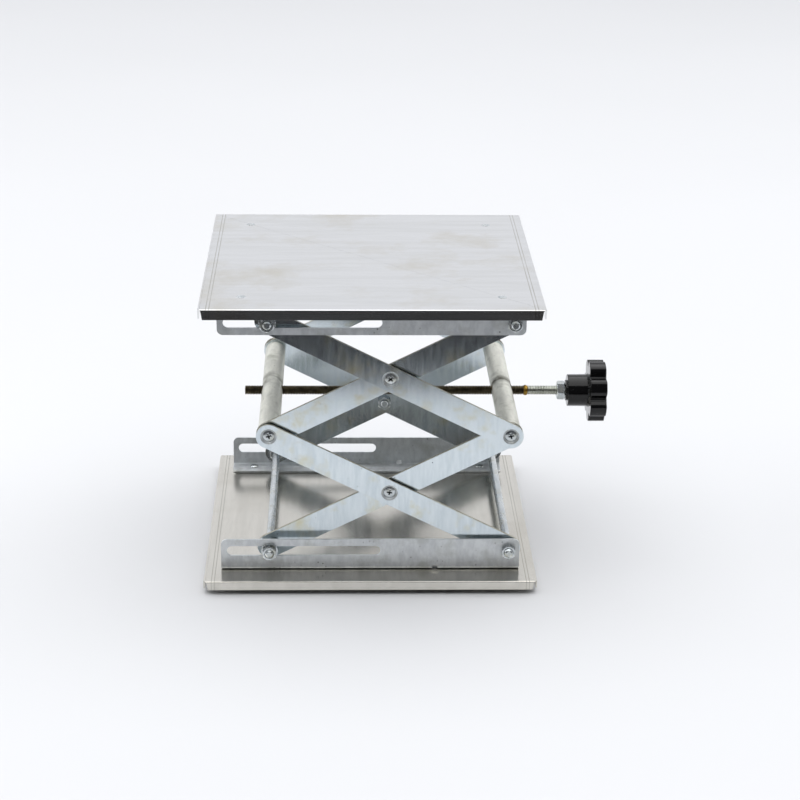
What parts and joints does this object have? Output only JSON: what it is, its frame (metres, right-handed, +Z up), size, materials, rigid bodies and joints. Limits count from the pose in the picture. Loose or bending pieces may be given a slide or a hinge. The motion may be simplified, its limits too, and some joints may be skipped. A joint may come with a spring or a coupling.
{
  "type": "scissor lab jack",
  "caption": "Scissor-lift laboratory jack: square steel platform on crossed arms in slotted rails, raised by a turnbuckle screw with a star knob.",
  "frame": {"origin": "on the bench, under the middle of the base plate, which stands on four pads", "axes": "+Z up, +X along the lead screw towards the knob, Y along the pins and cross bars"},
  "size_m": [0.2482, 0.2, 0.1795],
  "materials": {
    "base_steel": "satin",
    "top_steel": "satin",
    "galvanised_steel": "matt galvanised",
    "zinc_plate": "zinc plated",
    "bright_zinc": "bright zinc plated",
    "dull_bar": "dull, turned",
    "screw_steel": "dark, oiled",
    "braze": "rough brazed",
    "black_rubber": "matt",
    "black_resin": "glossy"
  },
  "bodies": {
    "base": {"base_plate": "base_steel", "base_rail_front": "galvanised_steel", "base_rail_back": "galvanised_steel", "base_foot_front_left": "black_rubber", "base_foot_front_right": "black_rubber", "base_foot_back_left": "black_rubber", "base_foot_back_right": "black_rubber", "lower_pivot_axle": "bright_zinc", "lower_pivot_nut_front": "bright_zinc", "lower_pivot_nut_back": "bright_zinc"},
    "lower_outer_arms": {"lower_outer_arm_front": "zinc_plate", "lower_outer_arm_back": "zinc_plate", "lower_centre_screw_front": "bright_zinc", "lower_centre_screw_back": "bright_zinc", "lower_centre_nut_front": "bright_zinc", "lower_centre_nut_back": "bright_zinc"},
    "lower_inner_arms": {"lower_inner_arm_front": "zinc_plate", "lower_inner_arm_back": "zinc_plate"},
    "upper_inner_arms": {"upper_inner_arm_front": "zinc_plate", "upper_inner_arm_back": "zinc_plate", "upper_centre_screw_front": "bright_zinc", "upper_centre_screw_back": "bright_zinc", "upper_centre_nut_front": "bright_zinc", "upper_centre_nut_back": "bright_zinc"},
    "upper_outer_arms": {"upper_outer_arm_front": "zinc_plate", "upper_outer_arm_back": "zinc_plate"},
    "platform": {"top_plate": "top_steel", "top_rail_front": "galvanised_steel", "top_rail_back": "galvanised_steel", "top_rivet_front_left": "bright_zinc", "top_rivet_front_right": "bright_zinc", "top_rivet_back_left": "bright_zinc", "top_rivet_back_right": "bright_zinc", "upper_pivot_axle": "bright_zinc", "upper_pivot_nut_front": "bright_zinc", "upper_pivot_nut_back": "bright_zinc", "upper_pivot_spacer_front": "bright_zinc", "upper_pivot_spacer_back": "bright_zinc"},
    "left_bar": {"left_nut_bar": "dull_bar", "left_bar_screw_front": "bright_zinc", "left_bar_screw_back": "bright_zinc"},
    "right_bar": {"right_nut_bar": "dull_bar", "right_bar_screw_front": "bright_zinc", "right_bar_screw_back": "bright_zinc"},
    "lower_slide": {"lower_slide_axle": "bright_zinc", "lower_slide_nut_front": "bright_zinc", "lower_slide_nut_back": "bright_zinc", "lower_slide_washer_front": "bright_zinc", "lower_slide_washer_back": "bright_zinc", "lower_slide_spacer_front": "bright_zinc", "lower_slide_spacer_back": "bright_zinc"},
    "upper_slide": {"upper_slide_axle": "bright_zinc", "upper_slide_nut_front": "bright_zinc", "upper_slide_nut_back": "bright_zinc", "upper_slide_washer_front": "bright_zinc", "upper_slide_washer_back": "bright_zinc"},
    "screw_bead": {"braze_bead": "braze"},
    "screw": {"lead_screw": "screw_steel", "lock_nut": "bright_zinc", "knob": "black_resin"}
  },
  "joints": [
    {"name": "lift", "type": "hinge", "parent": "base", "child": "lower_outer_arms", "pos_m": [0.0833, 0, 0.02095], "axis": [0, 1, 0], "range_deg": [-18.59, 28.68]},
    {"name": "lower_cross", "type": "hinge", "parent": "lower_outer_arms", "child": "lower_inner_arms", "pos_m": [0.01124, 0, 0.05717], "axis": [0, 1, 0], "range_deg": [-57.86, 37.68]},
    {"name": "upper_fold", "type": "hinge", "parent": "lower_outer_arms", "child": "upper_inner_arms", "pos_m": [-0.06081, 0, 0.0934], "axis": [0, 1, 0], "range_deg": [-57.86, 37.68]},
    {"name": "upper_cross", "type": "hinge", "parent": "upper_inner_arms", "child": "upper_outer_arms", "pos_m": [0.01124, 0, 0.12962], "axis": [0, 1, 0], "range_deg": [-37.68, 57.86]},
    {"name": "platform_level", "type": "hinge", "parent": "upper_inner_arms", "child": "platform", "pos_m": [0.0833, 0, 0.16585], "axis": [0, 1, 0], "range_deg": [-19.09, 29.18]},
    {"name": "left_bar_turn", "type": "hinge", "parent": "lower_outer_arms", "child": "left_bar", "pos_m": [-0.06081, 0, 0.0934], "axis": [0, 1, 0], "range_deg": [-29.18, 19.09]},
    {"name": "right_bar_turn", "type": "hinge", "parent": "lower_inner_arms", "child": "right_bar", "pos_m": [0.0833, 0, 0.0934], "axis": [0, 1, 0], "range_deg": [-19.09, 29.18]},
    {"name": "lower_axle_slide", "type": "hinge", "parent": "lower_inner_arms", "child": "lower_slide", "pos_m": [-0.06081, 0, 0.02095], "axis": [0, 1, 0], "range_deg": [-19.09, 29.18]},
    {"name": "upper_axle_slide", "type": "hinge", "parent": "upper_outer_arms", "child": "upper_slide", "pos_m": [-0.06081, 0, 0.16585], "axis": [0, 1, 0], "range_deg": [-29.18, 19.09]},
    {"name": "screw_travel", "type": "slide", "parent": "right_bar", "child": "screw_bead", "axis": [1, 0, 0], "range_m": [-0.01358, 0.02084]},
    {"name": "knob_turn", "type": "hinge", "parent": "screw_bead", "child": "screw", "pos_m": [0.0971, 0, 0.0934], "axis": [1, 0, 0], "range_deg": [-7449.41, 4835.65]}
  ],
  "couplings": [
    {"joint": "lower_cross", "follows": "lift", "ratio": -2},
    {"joint": "upper_fold", "follows": "lift", "ratio": -2},
    {"joint": "upper_cross", "follows": "lift", "ratio": 2},
    {"joint": "platform_level", "follows": "lift", "ratio": 1},
    {"joint": "left_bar_turn", "follows": "lift", "ratio": -1},
    {"joint": "right_bar_turn", "follows": "lift", "ratio": 1},
    {"joint": "lower_axle_slide", "follows": "lift", "ratio": 1},
    {"joint": "upper_axle_slide", "follows": "lift", "ratio": -1},
    {"joint": "screw_travel", "follows": "lift", "m_per_rad": 0.041228},
    {"joint": "knob_turn", "follows": "lift", "ratio": -259.05}
  ]
}
